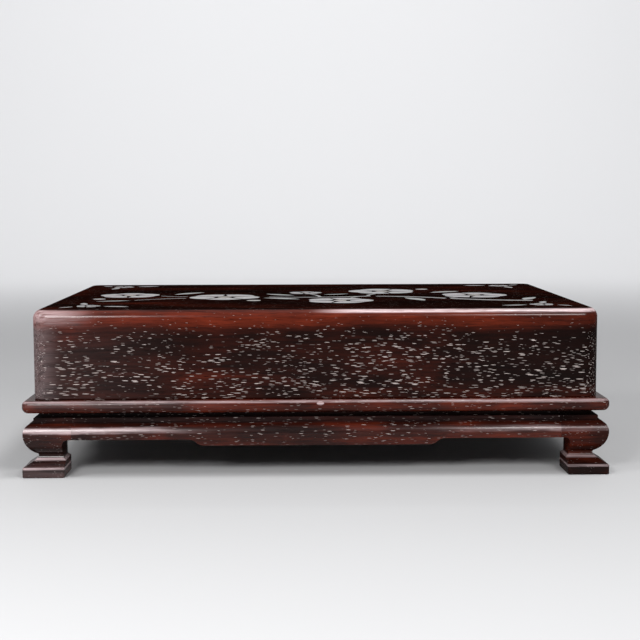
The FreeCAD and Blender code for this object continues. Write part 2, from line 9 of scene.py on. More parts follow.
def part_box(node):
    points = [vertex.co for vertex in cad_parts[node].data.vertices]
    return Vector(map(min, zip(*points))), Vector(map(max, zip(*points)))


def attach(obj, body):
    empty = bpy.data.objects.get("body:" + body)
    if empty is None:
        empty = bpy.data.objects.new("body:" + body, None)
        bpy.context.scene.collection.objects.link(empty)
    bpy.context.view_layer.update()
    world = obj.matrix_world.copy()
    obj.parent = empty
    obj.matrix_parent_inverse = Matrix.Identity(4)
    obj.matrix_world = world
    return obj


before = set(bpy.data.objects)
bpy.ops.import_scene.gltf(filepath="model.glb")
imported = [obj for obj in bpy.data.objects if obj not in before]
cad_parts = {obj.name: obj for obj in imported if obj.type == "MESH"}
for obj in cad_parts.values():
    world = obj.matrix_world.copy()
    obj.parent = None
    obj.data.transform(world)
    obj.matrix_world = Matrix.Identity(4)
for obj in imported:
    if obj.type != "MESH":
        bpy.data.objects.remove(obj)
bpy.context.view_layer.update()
MM = 0.001
FULL_TURN = 2 * math.pi

# A Mix node's colour sockets share their names with its other sockets, so these are their numbers
MIX_SHARE, MIX_FIRST, MIX_SECOND, MIX_RESULT = 0, 6, 7, 2


# Finishes
class Socket:
    """A value inside a finish. Sums that are written with it add the nodes that work them out."""

    def __init__(self, finish, link):
        self.finish = finish
        self.link = link

    def also(self, name):
        """Another output of the same node."""
        return Socket(self.finish, self.link.node.outputs[name])

    def __add__(self, other):
        return self.finish.math("ADD", self, other)

    def __radd__(self, other):
        return self.finish.math("ADD", other, self)

    def __sub__(self, other):
        return self.finish.math("SUBTRACT", self, other)

    def __rsub__(self, other):
        return self.finish.math("SUBTRACT", other, self)

    def __mul__(self, other):
        return self.finish.math("MULTIPLY", self, other)

    def __rmul__(self, other):
        return self.finish.math("MULTIPLY", other, self)

    def __truediv__(self, other):
        return self.finish.math("DIVIDE", self, other)

    def __pow__(self, other):
        return self.finish.math("POWER", self, other)

    def __abs__(self):
        return self.finish.math("ABSOLUTE", self)


class Finish:
    """A material and its nodes."""

    def __init__(self, name):
        self.material = bpy.data.materials.new(name)
        self.material.use_nodes = True
        self.tree = self.material.node_tree
        self.tree.nodes.clear()

    def node(self, kind, settings=None, sockets=None, out=0):
        """Adds a node. Settings come first, then the values or links of its sockets."""
        made = self.tree.nodes.new(kind)
        for key, value in (settings or {}).items():
            if key == "stops":
                ramp = made.color_ramp
                while len(ramp.elements) < len(value):
                    ramp.elements.new(0.5)
                for element, (place, colour) in zip(ramp.elements, value):
                    element.position = place
                    element.color = (*colour, 1.0)
            else:
                setattr(made, key, value)
        for key, value in (sockets or {}).items():
            if isinstance(value, Socket):
                self.tree.links.new(value.link, made.inputs[key])
            elif isinstance(value, tuple) and len(value) == 3 and made.inputs[key].type == "RGBA":
                made.inputs[key].default_value = (*value, 1.0)
            else:
                made.inputs[key].default_value = value
        return Socket(self, made.outputs[out]) if len(made.outputs) else None

    def math(self, operation, *terms):
        return self.node("ShaderNodeMath", {"operation": operation}, dict(enumerate(terms)))

    def place(self):
        """The place on the piece, in millimetres along X, Y and Z."""
        metres = self.node("ShaderNodeTexCoord", out="Object")
        scaled = self.node("ShaderNodeVectorMath", {"operation": "SCALE"}, {0: metres, "Scale": 1 / MM})
        x = self.node("ShaderNodeSeparateXYZ", None, {0: scaled})
        return x, x.also("Y"), x.also("Z")

    def step(self, value, low, high):
        """Goes smoothly from 0 at low to 1 at high."""
        if low > high:
            return 1 - self.step(value, high, low)
        return self.node("ShaderNodeMapRange", {"interpolation_type": "SMOOTHSTEP"},
                         {"Value": value, "From Min": low, "From Max": high})

    def largest(self, first, *others):
        for other in others:
            first = self.math("MAXIMUM", first, other)
        return first

    def spread(self, place, spacing, shift=(0, 0, 0)):
        """A place counted in steps of the spacing, in millimetres along each axis, and then shifted."""
        steps = [along / gap + move if move else along / gap for along, gap, move in zip(place, spacing, shift)]
        return self.node("ShaderNodeCombineXYZ", None, dict(zip("XYZ", steps)))

    def noise(self, place, spacing, shift=(0, 0, 0), detail=2.0, rough=0.5, warp=0.0):
        """Soft clouds that lie about the spacing apart."""
        return self.node("ShaderNodeTexNoise", None,
                         {"Vector": self.spread(place, spacing, shift), "Scale": 1.0, "Detail": detail,
                          "Roughness": rough, "Distortion": warp})

    def mix(self, share, first, second):
        """A colour between two colours."""
        return self.node("ShaderNodeMix", {"data_type": "RGBA"},
                         {MIX_SHARE: share, MIX_FIRST: first, MIX_SECOND: second}, out=MIX_RESULT)

    def ramp(self, value, stops):
        return self.node("ShaderNodeValToRGB", {"stops": stops}, {0: value})

    def bump(self, height, strength, depth_mm):
        return self.node("ShaderNodeBump", None,
                         {"Height": height, "Strength": strength, "Distance": depth_mm * MM})

    def surface(self, **sockets):
        """The finish's shader. Names have _ for the blank in the sockets' names."""
        shader = self.node("ShaderNodeBsdfPrincipled", None,
                           {key.replace("_", " "): value for key, value in sockets.items()})
        self.node("ShaderNodeOutputMaterial", None, {"Surface": shader})
        return self.material


# Rosewood
WOOD_DEEP = (0.0030, 0.0012, 0.0009)
WOOD_SHADES = [(0.28, WOOD_DEEP), (0.46, (0.0085, 0.0022, 0.0015)), (0.62, (0.0260, 0.0046, 0.0025)),
               (0.88, (0.115, 0.0160, 0.0065))]
PORE_WAX = (0.60, 0.52, 0.495)
# Paler wood where it is worn, also used for painted highlights and sheen on the edges and swells
WEAR_AND_HIGHLIGHT_COLOUR = (0.62, 0.48, 0.49)

# How far apart the wood's marks lie: along the grain, across it and through it
DRIFT_SPACING = (60, 22, 22)
FIGURE_SPACING = (70, 20, 16)
STREAK_SPACING = (26, 1.3, 1.3)
FIBRE_SPACING = (6, 0.30, 0.30)
CROWD_SPACING = (30, 9, 9)
HAZE_SPACING = (30, 30, 30)
DRIFT_ACROSS = 3.0
DRIFT_THROUGH = 4.0

# Pores: a board's, and the shorter ones of a leg, whose fibres are cut across in its curves
PORE_RUN, PORE_PITCH = 4.5, 0.41
LEG_PORE_RUN, LEG_PORE_PITCH = 2.4, 0.42
PORE_STAGGER_ACROSS = 1.9
PORE_STAGGER_THROUGH = 2.3
PORE_SHARPNESS = 14
PORE_SMALLEST, PORE_SPREAD = 0.13, 0.22
CROWDED = (0.32, 0.56)
WAX_HELD = (0.10, 0.26)

# The wood's figure, dark fibres, and the patches that break up pale wear and painted highlights
FIGURE_SHARE, STREAK_SHARE = 0.86, 0.30
SHADE_DROP = 0.085
DARK_FIBRES = (0.52, 0.70)
WEAR_AND_HIGHLIGHT_PATCHES = (0.40, 0.64)
WOOD_RELIEF = 0.09
COAT_ROUGHNESS = 0.18


class Marks(NamedTuple):
    """What polish, dust and hands have done to the wood at each place on it, with the light and highlights
    painted on it.
    """
    shade: object  # how light the wood is
    few: object  # how small and few its pores are
    gloss: object  # how much polish is left
    fade: object  # how far the wax in its pores has darkened
    wear_and_highlight: object  # how far pale wear and painted highlights make it paler


def along_and_across(grain, x, y, z):
    """The place measured along the grain, and in the two ways across it."""
    return {"X": (x, y, z), "Y": (y, x, z), "Z": (z, x, y)}[grain]


def rosewood(name, grain, seed, tone, marks, pore_run=PORE_RUN, pore_pitch=PORE_PITCH):
    """Polished open-pored rosewood: quiet figure, dark fibres, and pale wax in many of the pores."""
    f = Finish(name)
    x, y, z = f.place()
    along, side, rise = along_and_across(grain, x, y, z)
    drift = f.noise((along, side, rise), DRIFT_SPACING, (seed, 0, 0), detail=1.0) - 0.5
    side = side + drift * DRIFT_ACROSS
    rise = rise + drift * DRIFT_THROUGH
    wood = along, side, rise
    figure = f.noise(wood, FIGURE_SPACING, (seed, 0, 0), detail=4.0, rough=0.55, warp=0.6)
    streaks = f.noise(wood, STREAK_SPACING, (0, seed, 0), detail=3.0, rough=0.6)
    fibres = f.noise(wood, FIBRE_SPACING, (0, 0, seed))
    wear_and_light = marks(f, x, y, z, figure * FIGURE_SHARE + streaks * STREAK_SHARE - SHADE_DROP + tone)
    colour = f.ramp(wear_and_light.shade, WOOD_SHADES)
    colour = f.mix(f.step(fibres, *DARK_FIBRES) * 0.5, colour, WOOD_DEEP)
    # Pale wear and painted highlights on the proud edges, broken up along the grain
    patchy = f.step(streaks * 0.75 + fibres * 0.35, *WEAR_AND_HIGHLIGHT_PATCHES) * 0.65 + 0.35
    colour = f.mix(wear_and_light.wear_and_highlight * patchy, colour, WEAR_AND_HIGHLIGHT_COLOUR)
    # Pores: long, thin hollows, most of them filled with pale wax
    stagger = along + side * PORE_STAGGER_ACROSS + rise * PORE_STAGGER_THROUGH
    cells = f.node("ShaderNodeTexVoronoi", {"feature": "F1"},
                   {"Vector": f.spread((stagger, side, rise), (pore_run, pore_pitch, pore_pitch), (seed, 0, 0)),
                    "Scale": 1.0, "Randomness": 1.0}, out="Distance")
    lot = f.node("ShaderNodeSeparateColor", None, {0: cells.also("Color")})
    crowd = f.noise(wood, CROWD_SPACING, (seed, 0, 0))
    size = (lot * PORE_SPREAD + PORE_SMALLEST) * (f.step(crowd, *CROWDED) * 0.30 + 0.82) * (1 - wear_and_light.few)
    pore = f.step((size - cells) * PORE_SHARPNESS, 0.0, 0.9)
    filled = f.step(lot.also("Green"), *WAX_HELD)
    colour = f.mix(pore * (1 - filled) * 0.8, colour, WOOD_DEEP)
    colour = f.mix(pore * filled * (lot.also("Blue") * 0.65 + 0.35) * (1 - wear_and_light.fade), colour, PORE_WAX)
    haze = f.noise((x, y, z), HAZE_SPACING, (0, 0, seed), detail=3.0)
    rough = 0.40 + streaks * 0.10 + haze * 0.12 + pore * 0.25
    height = fibres * 0.12 + streaks * 0.30 - pore
    return f.surface(Base_Color=colour, Roughness=rough, Normal=f.bump(height, 0.6, WOOD_RELIEF),
                     Specular_IOR_Level=0.0, Coat_Weight=wear_and_light.gloss * (1 - pore * 0.5),
                     Coat_Roughness=COAT_ROUGHNESS)


def stripe(f, value, middle, half):
    """Is one in the middle, and fades to nothing at half the width away."""
    return f.step(abs(value - middle), half, half * 0.3)


# Levels over the table, and reaches along X and Y: each pair goes from none of it to all of it
LID_TOP = 73.6
LID_EDGE = (LID_TOP - 4.0, LID_TOP - 2.4)
LID_FLAT = (LID_TOP - 0.6, LID_TOP - 0.05)
LID_RED_BAND = (LID_TOP - 10.0, LID_TOP - 3.0)
LID_CLOSED_PORES = (LID_TOP - 15.0, LID_TOP + 2.0)
LID_FOOT = (43.0, 36.0)
LID_LEFT = (-50.0, -120.0)
LID_LEFT_END = (-111.0, -124.0)
LID_CORNER = (-94.0, -120.0)
LID_CORNER_RISE = (65.0, 71.0)
LID_FRONT = (-60.0, -76.0)
LID_CREST_RUN = (-5.0, 20.0)
LID_CREST, LID_CREST_HALF = LID_TOP - 1.0, 1.1


def lid_marks(f, x, y, z, shade):
    """The lid's edge is redder, with few open pores, and its flat top is duller from use and darker. Its left
    is painted lighter, with painted highlights on the front crest, the upper left corner and the left end.
    """
    wander = f.noise((x, y, 0.0), (55, 55, 1)) * 3.0
    band = f.step(z + wander, *LID_RED_BAND)
    few = f.step(z + wander * 3.0, *LID_CLOSED_PORES) * 0.62
    flat = f.step(z, *LID_FLAT)
    patches = f.noise((x, y, z), (26, 26, 14), (0, 0, 7.7), detail=3.0)
    low = f.step(z, *LID_FOOT) * 0.05
    # Painted light: the left side is painted lighter, where the light falls on it
    left = f.step(x, *LID_LEFT)
    shade = shade + band * (1 - flat) * 0.26 + low + (patches - 0.5) * 0.24 + left * 0.04 - flat * 0.07
    edge = f.step(z, *LID_EDGE)
    gloss = ((left * 0.16 + 0.14) * (1 - edge) + edge * 0.40) * (1 - flat)
    # Painted highlights on the upper left corner, the left end and the right half of the front crest
    corner = f.step(x, *LID_CORNER) * f.step(z, *LID_CORNER_RISE) * 0.48
    end = f.step(x, *LID_LEFT_END) * 0.15
    crest_highlight_share = f.step(x, *LID_CREST_RUN) * (f.step(y, *LID_FRONT) * 0.78 + 0.12) + 0.015
    crest = stripe(f, z, LID_CREST, LID_CREST_HALF) * crest_highlight_share
    wear_and_highlight = f.largest(corner, end, crest) + left * 0.012
    return Marks(shade, few * (1 - flat * 0.4), gloss, flat * 0.72, wear_and_highlight * (1 - flat))


PLATE_TOP = 34.0
PLATE_FRONT = (-80.2, -86.2)
PLATE_WARM = (-15.0, 30.0)
PLATE_LEFT = (-20.0, -110.0)
PLATE_CREST, PLATE_CREST_HALF = PLATE_TOP - 0.7, 0.7
PLATE_FACE_CREST, PLATE_FACE_CREST_HALF = PLATE_TOP - 1.8, 2.0
CHIP_X, CHIP_HALF_LENGTH = 1.5, 1.9
CHIP_Z, CHIP_HALF_HEIGHT = 32.6, 1.0
MOULDING_PATCHES = (16, 16, 10)


def plate_marks(f, x, y, z, shade):
    """The plate's front edge turns orange-red to the right and has one pale chip; its crest and the left of its
    face get painted highlights.
    """
    front = f.step(y, *PLATE_FRONT)
    warm = f.step(x, *PLATE_WARM) * front * 0.07
    patches = f.noise((x, y, z), MOULDING_PATCHES, detail=3.0)
    left = f.step(x, *PLATE_LEFT)
    # A painted highlight along the crest, and a painted sheen on the left of the face; the chip is paler wear
    crest = stripe(f, z, PLATE_CREST, PLATE_CREST_HALF) * 0.38
    chip_x, chip_z = (x - CHIP_X) / CHIP_HALF_LENGTH, (z - CHIP_Z) / CHIP_HALF_HEIGHT
    chip = f.step(chip_x * chip_x + chip_z * chip_z + patches * 0.5, 1.2, 0.8) * front * 0.8
    wear_and_highlight = f.largest(crest, chip) + left * stripe(f, z, PLATE_FACE_CREST, PLATE_FACE_CREST_HALF) * 0.06
    return Marks(shade + warm + (patches - 0.5) * 0.25 + 0.04, 0.30, 0.34, 0.25, wear_and_highlight)


APRON_BAND = (23.3, 24.1)
APRON_SWELL = (24.1, 22.1)
SWELL_CREST, SWELL_CREST_HALF = 21.5, 1.7
APRON_ENDS = (40.0, 105.0)
APRON_LEFT = (-20.0, -80.0)


def apron_marks(f, x, y, z, shade):
    """Dust dulls the apron's band, over the swell, which is also painted darker as shade under the plate; the
    swell gets a painted highlight along its crest.
    """
    band = f.step(z, *APRON_BAND)
    swell = f.step(z, *APRON_SWELL)
    patches = f.noise((x, y, z), MOULDING_PATCHES, detail=3.0)
    # The swell's painted highlight is stronger towards the ends and on the left
    away = f.step(abs(x), *APRON_ENDS) * (f.step(x, *APRON_LEFT) * 0.36 + 0.26) + 0.01
    wear_and_highlight = stripe(f, z + patches * 1.5, SWELL_CREST, SWELL_CREST_HALF) * away + band * 0.014
    # The band is painted darker as shade under the plate, and dust greys it a little
    return Marks(shade - band * 0.14 + (patches - 0.5) * 0.26 + 0.02, 0.30, swell * 0.42 + 0.04, 0.25, wear_and_highlight)


FOOT_CREST, FOOT_CREST_HALF = 7.5, 0.8
SOLE_CREST, SOLE_CREST_HALF = 4.1, 0.7
FOOT_LEVELS = (8.0, 3.0)
LEG_LEFT = (0.0, -40.0)


def leg_marks(f, x, y, z, shade):
    """The foot's two crests and the swell get painted highlights, stronger on the left, and the left foot a
    painted sheen.
    """
    wear_and_light = apron_marks(f, x, y, z, shade)
    crests = f.largest(stripe(f, z, FOOT_CREST, FOOT_CREST_HALF) * 0.7,
                       stripe(f, z, SOLE_CREST, SOLE_CREST_HALF) * 0.6)
    left = f.step(x, *LEG_LEFT)
    # A painted sheen on the left foot
    foot = f.step(z, *FOOT_LEVELS) * left * 0.06
    wear_and_highlight = f.largest(wear_and_light.wear_and_highlight * (left * 0.55 + 0.45), crests * (left * 0.45 + 0.55)) + foot
    return Marks(wear_and_light.shade, 0.40, wear_and_light.gloss * (left * 0.7 + 0.5), 0.35, wear_and_highlight)


def inside_marks(f, x, y, z, shade):
    """Wood that no hand or sun reaches: dull, with darkened pores."""
    return Marks(shade, 0.1, 0.08, 0.5, 0.0)


# Each board with its grain, a number that sets its figure apart from the others', its tone, and its wear with
# painted light
BOARDS = [
    ("lid_top_board", "X", 3.1, 0.0, lid_marks),
    ("lid_front_board", "X", 11.7, -0.02, lid_marks),
    ("lid_back_board", "X", 23.9, 0.02, lid_marks),
    ("lid_left_board", "Y", 31.3, 0.01, lid_marks),
    ("lid_right_board", "Y", 43.7, -0.01, lid_marks),
    ("plate_front_rail", "X", 53.1, 0.11, plate_marks),
    ("plate_back_rail", "X", 61.9, 0.09, plate_marks),
    ("plate_left_rail", "Y", 71.3, 0.09, plate_marks),
    ("plate_right_rail", "Y", 83.2, 0.08, plate_marks),
    ("apron_front", "X", 91.4, 0.08, apron_marks),
    ("apron_back", "X", 97.7, 0.07, apron_marks),
    ("apron_left", "Y", 105.5, 0.06, apron_marks),
    ("apron_right", "Y", 111.8, 0.05, apron_marks),
    ("tray_board", "X", 121.6, 0.08, inside_marks),
    ("lip_front_strip", "X", 131.2, 0.03, inside_marks),
    ("lip_back_strip", "X", 137.4, 0.02, inside_marks),
    ("lip_left_strip", "Y", 143.8, 0.03, inside_marks),
    ("lip_right_strip", "Y", 151.1, 0.0, inside_marks),
    ("floor_panel", "X", 163.3, 0.06, inside_marks),
    ("floor_batten_left", "Y", 171.9, 0.0, inside_marks),
    ("floor_batten_right", "Y", 179.9, 0.02, inside_marks),
]
TONGUES = [("lid_corner_splines", "X", 187.3), ("lid_top_splines", "X", 193.9), ("stand_keys", "Z", 199.1)]
TONGUE_TONE = 0.22
LEGS = [("leg_front_left", 5.3), ("leg_front_right", 15.9), ("leg_back_left", 27.1), ("leg_back_right", 36.6)]
LEG_TONE = 0.05


def coat(node, material):
    """Gives a node its finish."""
    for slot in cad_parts[node].material_slots:
        slot.material = material


for node, grain, seed, tone, marks in BOARDS:
    coat(node, rosewood("rosewood_" + node, grain, seed, tone, marks))
for node, grain, seed in TONGUES:
    coat(node, rosewood("tongue_" + node, grain, seed, TONGUE_TONE, inside_marks))
for node, seed in LEGS:
    coat(node, rosewood("rosewood_" + node, "X", seed, LEG_TONE, leg_marks, LEG_PORE_RUN, LEG_PORE_PITCH))


# Shell: what is engraved is in millimetres, or in shares of a blossom's radius
ENGRAVED = (0.016, 0.011, 0.009)
STAMENS = 15
HEART_SHARE = 0.2
RAY_HALF = (0.16, 0.08)
RAY_END = (0.62, 0.58)
DOT_AWAY = 0.64
DOT_SQUARED = (0.16, 0.09)
RIM_AWAY = 0.92
RIM_HALF = (0.14, 0.07)
LEAF_REACH = (5.0, 4.9)
LEAF_TIP = 0.6
RIB_HALF = (0.20, 0.10)
VEIN_SLANT = 1.2
VEIN_PITCH = 1.7
VEIN_HALF = (0.09, 0.04)


def loose_pieces(node):
    """The corners of each piece of a node, in millimetres, seen from above."""
    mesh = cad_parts[node].data
    places = [tuple(round(c / MM, 3) for c in v.co) for v in mesh.vertices]
    group = {place: {place} for place in places}
    for edge in mesh.edges:
        a, b = (group[places[k]] for k in edge.vertices)
        if a is not b:
            a |= b
            for place in b:
                group[place] = a
    found = {id(g): g for g in group.values()}
    return [sorted(g) for g in found.values()]


def blossom_lines(f, x, y):
    """Stamens engraved round each heart, as fine rays that end in dots, and a line inside the rim."""
    drawn = 0.0
    for corners in loose_pieces("inlay_blossom_hearts"):
        xs, ys = [c[0] for c in corners], [c[1] for c in corners]
        middle_x, middle_y = (min(xs) + max(xs)) / 2, (min(ys) + max(ys)) / 2
        radius = (max(xs) - min(xs)) / 2 / HEART_SHARE
        dx, dy = x - middle_x, y - middle_y
        out = f.math("SQRT", dx * dx + dy * dy)
        turn = f.math("ARCTAN2", dy, dx) * (STAMENS / FULL_TURN)
        aside = abs(f.math("FRACT", turn) - 0.5) * out * (FULL_TURN / STAMENS)
        ray = f.step(aside, *RAY_HALF) * f.step(out, *(radius * share for share in RAY_END))
        dot = f.step((out - radius * DOT_AWAY) ** 2 + aside * aside, *DOT_SQUARED)
        rim = f.step(abs(out - radius * RIM_AWAY), *RIM_HALF)
        drawn = f.largest(ray, dot, rim, drawn)
    return drawn


def leaf_lines(f, x, y):
    """A rib down each leaf, and slanting veins on both sides of it."""
    drawn = 0.0
    for corners in loose_pieces("inlay_leaves"):
        pairs = ((a, b) for a in corners for b in corners)
        stalk, tip = max(pairs, key=lambda pair: math.dist(pair[0][:2], pair[1][:2]))
        length = math.dist(stalk[:2], tip[:2])
        way_x, way_y = (tip[0] - stalk[0]) / length, (tip[1] - stalk[1]) / length
        dx, dy = x - (stalk[0] + tip[0]) / 2, y - (stalk[1] + tip[1]) / 2
        run = dx * way_x + dy * way_y
        aside = abs(dy * way_x - dx * way_y)
        near = f.step(aside, *LEAF_REACH) * f.step(abs(run), length / 2, length / 2 - LEAF_TIP)
        rib = f.step(aside, *RIB_HALF)
        vein = f.step(abs(f.math("FRACT", (run + aside * VEIN_SLANT) / VEIN_PITCH) - 0.5), *VEIN_HALF)
        drawn = f.largest(drawn, near * f.largest(rib, vein))
    return drawn


SHELL_CLOUDS = (5, 5, 5)
SHELL_WAVES = (3.2, 7.5, 1)
SHELL_FLAKES = (1.5, 2.6, 1)
SHELL_DULL = (4.5, 7, 1)
SHELL_LAYERS = (4, 4, 1)
PINK_PARTS = (0.40, 0.62)
GREEN_PARTS = (0.50, 0.68)
LAYER_PARTS = (0.55, 0.9)
DULL_PARTS = (0.58, 0.36)
DARK_FLAKES = (0.52, 0.32)
BRIGHT_FLAKES = (0.56, 0.70)


def tinted(colour, share):
    return tuple(c * share for c in colour)


def shell(name, seed, lines, pale, pink, green):
    """Mother-of-pearl: milky, in thin wavy layers that shift from pink to green."""
    f = Finish(name)
    x, y, z = f.place()
    flat = x, y, 0.0
    cloud = f.noise((x, y, z), SHELL_CLOUDS, (seed, 0, 0), detail=3.0, warp=0.8)
    waves = f.noise(flat, SHELL_WAVES, (0, seed, 0), detail=4.0, rough=0.6, warp=1.6)
    flakes = f.noise(flat, SHELL_FLAKES, (0, seed, 0), detail=3.0, rough=0.65, warp=0.7)
    dull = f.noise(flat, SHELL_DULL, (seed, 0, 0), detail=3.0, rough=0.6, warp=0.5)
    layers = f.node("ShaderNodeTexWave", {"wave_type": "BANDS"},
                    {"Vector": f.spread(flat, SHELL_LAYERS), "Scale": 1.1, "Distortion": 9.0,
                     "Detail": 3.0, "Detail Scale": 0.7}, out="Fac")
    colour = f.mix(f.step(cloud, *PINK_PARTS), pale, pink)
    colour = f.mix(f.step(waves, *GREEN_PARTS) * 0.75, colour, green)
    colour = f.mix(f.step(layers, *LAYER_PARTS) * 0.35, colour, tinted(pale, 0.62))
    colour = f.mix(f.step(dull, *DULL_PARTS) * 0.55, colour, tinted(pale, 0.38))
    colour = f.mix(f.step(flakes, *DARK_FLAKES) * 0.75, colour, tinted(pale, 0.25))
    colour = f.mix(f.step(flakes, *BRIGHT_FLAKES) * 0.8, colour, tinted(pale, 2.2))
    height = layers + cloud + flakes
    if lines:
        cut = lines(f, x, y)
        colour = f.mix(cut, colour, ENGRAVED)
        height = height - cut
    return f.surface(Base_Color=colour, Roughness=0.24 + cloud * 0.14, Normal=f.bump(height, 0.25, 0.05),
                     Specular_IOR_Level=0.3, Coat_Weight=0.2, Coat_Roughness=0.08)


# Each kind of inlay with its finish, a number that sets it apart, its engraving and its three colours
INLAYS = [
    ("inlay_blossom_petals", "shell_petals", 1.0, blossom_lines,
     (0.160, 0.145, 0.146), (0.205, 0.155, 0.166), (0.125, 0.172, 0.158)),
    ("inlay_corner_sprigs", "shell_sprigs", 4.0, None,
     (0.120, 0.110, 0.107), (0.150, 0.118, 0.120), (0.095, 0.128, 0.116)),
    ("inlay_leaves", "shell_leaves", 7.0, leaf_lines,
     (0.118, 0.130, 0.114), (0.152, 0.140, 0.134), (0.082, 0.142, 0.118)),
    ("inlay_branch", "shell_branch", 9.0, None,
     (0.115, 0.100, 0.093), (0.145, 0.112, 0.108), (0.097, 0.115, 0.097)),
    ("inlay_blossom_hearts", "shell_hearts", 12.0, None,
     (0.200, 0.145, 0.085), (0.225, 0.150, 0.112), (0.165, 0.170, 0.100)),
    ("inlay_buds", "shell_buds", 15.0, None,
     (0.190, 0.150, 0.132), (0.215, 0.153, 0.143), (0.153, 0.168, 0.132)),
]

for node, name, seed, lines, pale, pink, green in INLAYS:
    coat(node, shell(name, seed, lines, pale, pink, green))


# Ink stone and ink stick
SLATE_SHADES = [(0.3, (0.020, 0.021, 0.024)), (0.6, (0.042, 0.043, 0.046)), (0.8, (0.075, 0.074, 0.074))]
SLATE_GRAIN = (0.13, 0.13, 0.125)
DRIED_INK = (0.008, 0.008, 0.009)
GRINDING_FACE = (53.6, 51.0)
TOWARDS_WELL = (30.0, -55.0)
SMEARED = (0.38, 0.62)
PALE_GRAINS = (0.66, 0.74)
INK_DARK = (0.009, 0.009, 0.010)
INK_PALE = (0.022, 0.021, 0.022)
INK_PARTS = (0.35, 0.7)


def slate(name):
    """Honed slate, with dried ink that lies in the well and thins out over the grinding face."""
    f = Finish(name)
    x, y, z = f.place()
    cloud = f.noise((x, y, z), (26, 26, 26), detail=5.0, rough=0.6)
    grit = f.noise((x, y, z), (0.35, 0.35, 0.35))
    bands = f.noise((x, y, z), (70, 12, 6), detail=3.0, warp=0.5)
    smear = f.step(f.noise((x, y, z), (18, 30, 8), detail=4.0), *SMEARED)
    ink = f.step(z, *GRINDING_FACE) * (smear * 0.5 + f.step(x, *TOWARDS_WELL) * 0.6)
    ink = f.math("MINIMUM", ink, 1.0)
    colour = f.ramp(cloud * 0.7 + bands * 0.35, SLATE_SHADES)
    colour = f.mix(ink * 0.85, colour, DRIED_INK)
    colour = f.mix(f.step(grit, *PALE_GRAINS) * 0.35, colour, SLATE_GRAIN)
    return f.surface(Base_Color=colour, Roughness=0.62 - ink * 0.3 + cloud * 0.1,
                     Normal=f.bump(grit * 0.6 + cloud, 0.3, 0.08), Specular_IOR_Level=0.4)


def pressed_ink(name):
    """Soot and glue, pressed in a mould: nearly black, with a faint skin."""
    f = Finish(name)
    x, y, z = f.place()
    cloud = f.noise((x, y, z), (9, 14, 9), detail=4.0)
    skin = f.noise((x, y, z), (0.8, 0.8, 0.8), detail=3.0)
    colour = f.mix(f.step(cloud, *INK_PARTS), INK_DARK, INK_PALE)
    return f.surface(Base_Color=colour, Roughness=0.32 + cloud * 0.2, Normal=f.bump(skin, 0.25, 0.06),
                     Specular_IOR_Level=0.45)


coat("ink_stone", slate("slate"))
coat("ink_stick", pressed_ink("pressed_ink"))


# Gilt relief in the ink stick's sunk panel: a border and three plain blossoms, in millimetres
GOLD = (0.62, 0.37, 0.12)
WORN_GOLD = (0.10, 0.06, 0.03)
WORN_SPOTS = (0.54, 0.70)
PANEL_DEPTH = 0.4
PANEL_MARGIN = 4.0
RELIEF_HEIGHT = 0.32
BORDER_GAP = 0.6
BORDER_WIDTH = 0.7
PETALS = 5
PETALS_OUT = 2.9
PETAL_RADIUS = 1.75
HEART_RADIUS = PETAL_RADIUS * 0.45
DOME_POINTS = 16
DOME_RINGS = 4
BLOSSOM_PLACES = (-29.0, 0.0, 29.0)


def gilt():
    """Gold paint, worn through in spots."""
    f = Finish("worn_gilt")
    x, y, z = f.place()
    wear = f.noise((x, y, z), (1.4, 1.4, 1), detail=3.0)
    colour = f.mix(f.step(wear, *WORN_SPOTS), GOLD, WORN_GOLD)
    return f.surface(Base_Color=colour, Metallic=0.9, Roughness=0.36 + wear * 0.2,
                     Normal=f.bump(wear, 0.3, 0.04))


def add_piece(name, places, faces, material, body):
    """A piece from corners in millimetres, carried by a body."""
    mesh = bpy.data.meshes.new(name)
    mesh.from_pydata([tuple(c * MM for c in place) for place in places], [], faces)
    mesh.materials.append(material)
    piece = bpy.data.objects.new(name, mesh)
    bpy.context.scene.collection.objects.link(piece)
    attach(piece, body)


def border(middle_x, half_x, half_y, low):
    """A flat ring with mitred corners."""
    turns = ((-1, -1), (1, -1), (1, 1), (-1, 1))
    high = low + RELIEF_HEIGHT
    inner_x, inner_y = half_x - BORDER_WIDTH, half_y - BORDER_WIDTH
    rings = [(half_x, half_y, low), (half_x, half_y, high), (inner_x, inner_y, high), (inner_x, inner_y, low)]
    places = [(middle_x + a * w, b * d, level) for w, d, level in rings for a, b in turns]
    faces = []
    for ring in range(len(rings)):
        here, after = 4 * ring, 4 * ((ring + 1) % len(rings))
        for k in range(4):
            n = (k + 1) % 4
            faces.append((here + k, here + n, after + n, after + k))
    return places, faces


def dome(middle_x, middle_y, low, radius, first):
    """A low round dome with a flat underside. Its corners are counted on from the first."""
    places, faces = [], []
    for ring in range(DOME_RINGS):
        lift = math.pi / 2 * ring / DOME_RINGS
        reach, level = radius * math.cos(lift), low + RELIEF_HEIGHT * math.sin(lift)
        for k in range(DOME_POINTS):
            turn = FULL_TURN * k / DOME_POINTS
            places.append((middle_x + reach * math.cos(turn), middle_y + reach * math.sin(turn), level))
    places.append((middle_x, middle_y, low + RELIEF_HEIGHT))
    crown = first + len(places) - 1
    for ring in range(DOME_RINGS - 1):
        a, b = first + ring * DOME_POINTS, first + (ring + 1) * DOME_POINTS
        for k in range(DOME_POINTS):
            n = (k + 1) % DOME_POINTS
            faces.append((a + k, a + n, b + n, b + k))
    last = first + (DOME_RINGS - 1) * DOME_POINTS
    faces += [(last + k, last + (k + 1) % DOME_POINTS, crown) for k in range(DOME_POINTS)]
    faces.append(tuple(first + k for k in reversed(range(DOME_POINTS))))
    return places, faces


